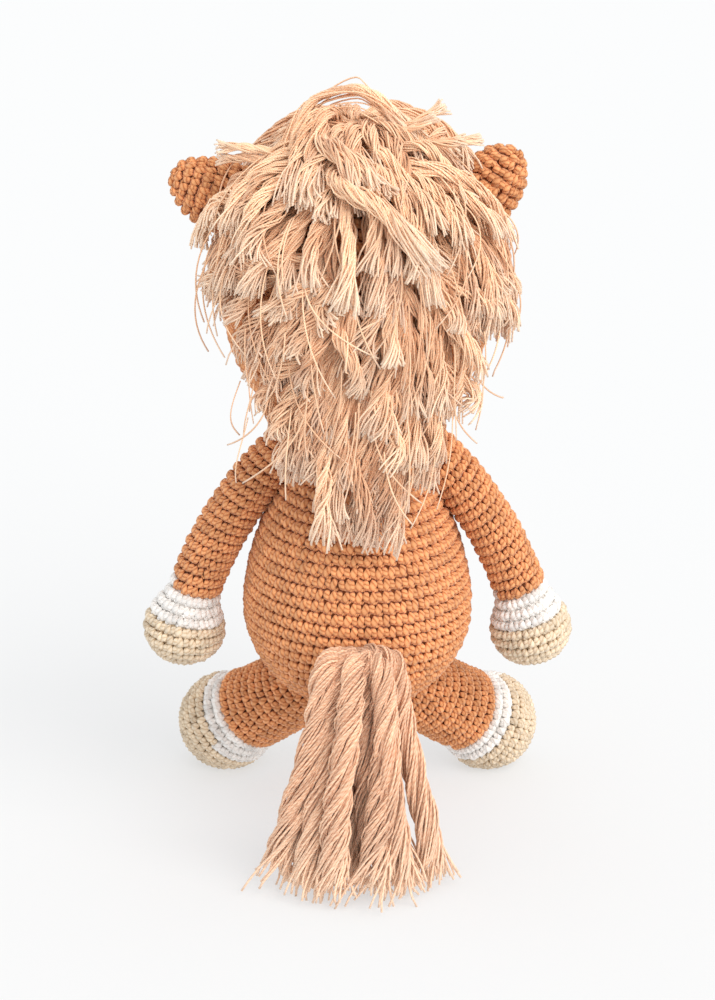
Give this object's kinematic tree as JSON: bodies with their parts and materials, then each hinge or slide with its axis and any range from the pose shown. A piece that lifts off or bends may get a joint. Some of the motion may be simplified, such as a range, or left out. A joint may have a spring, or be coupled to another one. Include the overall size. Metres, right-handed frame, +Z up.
{
  "type": "plush horse",
  "caption": "Crocheted stuffed horse standing upright on two splayed feet and a tail of thick cotton cords, with hanging arms and a mane of yarn.",
  "frame": {"origin": "bottom centre of the bounding box, on the surface that the feet and the tail stand on", "axes": "+Z up, +Y the way the horse faces, +X towards its right side"},
  "size_m": [0.194, 0.1894, 0.3311],
  "materials": {
    "caramel_crochet": "crocheted cotton yarn, caramel",
    "white_crochet": "crocheted cotton yarn, off-white",
    "beige_crochet": "crocheted cotton yarn, beige",
    "mane_yarn": "loosely twisted cotton yarn, peach",
    "tail_yarn": "thick twisted cotton cord, peach",
    "filling": "loose polyester fibre",
    "eye_plastic": "polished black",
    "washer_plastic": "moulded, pale grey",
    "dark_thread": "satin-stitched dark brown thread"
  },
  "bodies": {
    "torso": {"body_cover": "caramel_crochet", "body_filling": "filling"},
    "neck": {"neck_core": "filling"},
    "head": {"head_cover": "caramel_crochet", "head_filling": "filling", "muzzle_cover": "beige_crochet", "muzzle_filling": "filling", "nostril_left": "dark_thread", "nostril_right": "dark_thread", "eye_left": "eye_plastic", "eye_right": "eye_plastic", "eye_washer_left": "washer_plastic", "eye_washer_right": "washer_plastic", "ear_left": "caramel_crochet", "ear_right": "caramel_crochet", "mane_topknot": "mane_yarn", "mane_forelock": "mane_yarn", "mane_crown_left_1": "mane_yarn", "mane_crown_left_2": "mane_yarn", "mane_crown_left_3": "mane_yarn", "mane_crown_right_1": "mane_yarn", "mane_crown_right_2": "mane_yarn", "mane_crown_right_3": "mane_yarn", "mane_middle_left_1": "mane_yarn", "mane_middle_left_2": "mane_yarn", "mane_middle_left_3": "mane_yarn", "mane_middle_right_1": "mane_yarn", "mane_middle_right_2": "mane_yarn", "mane_middle_right_3": "mane_yarn", "mane_nape_left_1": "mane_yarn", "mane_nape_left_2": "mane_yarn", "mane_nape_right_1": "mane_yarn", "mane_nape_right_2": "mane_yarn"},
    "arm_left": {"arm_left_cover": "caramel_crochet", "arm_left_band": "white_crochet", "arm_left_hoof": "beige_crochet", "arm_left_filling": "filling"},
    "arm_right": {"arm_right_cover": "caramel_crochet", "arm_right_band": "white_crochet", "arm_right_hoof": "beige_crochet", "arm_right_filling": "filling"},
    "leg_left": {"leg_left_cover": "caramel_crochet", "leg_left_band": "white_crochet", "leg_left_hoof": "beige_crochet", "leg_left_filling": "filling"},
    "leg_right": {"leg_right_cover": "caramel_crochet", "leg_right_band": "white_crochet", "leg_right_hoof": "beige_crochet", "leg_right_filling": "filling"},
    "tail": {"tail_roll": "tail_yarn", "tail_cord_outer_1": "tail_yarn", "tail_cord_outer_2": "tail_yarn", "tail_cord_outer_3": "tail_yarn", "tail_cord_outer_4": "tail_yarn", "tail_cord_outer_5": "tail_yarn", "tail_cord_outer_6": "tail_yarn", "tail_cord_inner_1": "tail_yarn", "tail_cord_inner_2": "tail_yarn", "tail_cord_inner_3": "tail_yarn", "tail_cord_inner_4": "tail_yarn"}
  },
  "joints": [
    {"name": "neck_turn", "type": "hinge", "parent": "torso", "child": "neck", "pos_m": [0, 0.00812, 0.18244], "axis": [0, 0, 1], "range_deg": [-20, 20], "stiffness_Nm_per_rad": 0.5},
    {"name": "neck_nod", "type": "hinge", "parent": "neck", "child": "head", "pos_m": [0, 0.00812, 0.18244], "axis": [-1, 0, 0], "range_deg": [-8, 8], "stiffness_Nm_per_rad": 0.8},
    {"name": "shoulder_left", "type": "hinge", "parent": "torso", "child": "arm_left", "pos_m": [-0.03467, 0.00812, 0.17484], "axis": [1, 0, 0], "range_deg": [-30, 75]},
    {"name": "shoulder_right", "type": "hinge", "parent": "torso", "child": "arm_right", "pos_m": [0.03467, 0.00812, 0.17484], "axis": [1, 0, 0], "range_deg": [-30, 75]},
    {"name": "hip_left", "type": "hinge", "parent": "torso", "child": "leg_left", "pos_m": [-0.02045, 0.02814, 0.05648], "axis": [1, 0, 0], "range_deg": [-18, 18]},
    {"name": "hip_right", "type": "hinge", "parent": "torso", "child": "leg_right", "pos_m": [0.02045, 0.02814, 0.05648], "axis": [1, 0, 0], "range_deg": [-18, 18]},
    {"name": "tail_swing", "type": "hinge", "parent": "torso", "child": "tail", "pos_m": [0, -0.04811, 0.09984], "axis": [-1, 0, 0], "range_deg": [0, 50]}
  ]
}
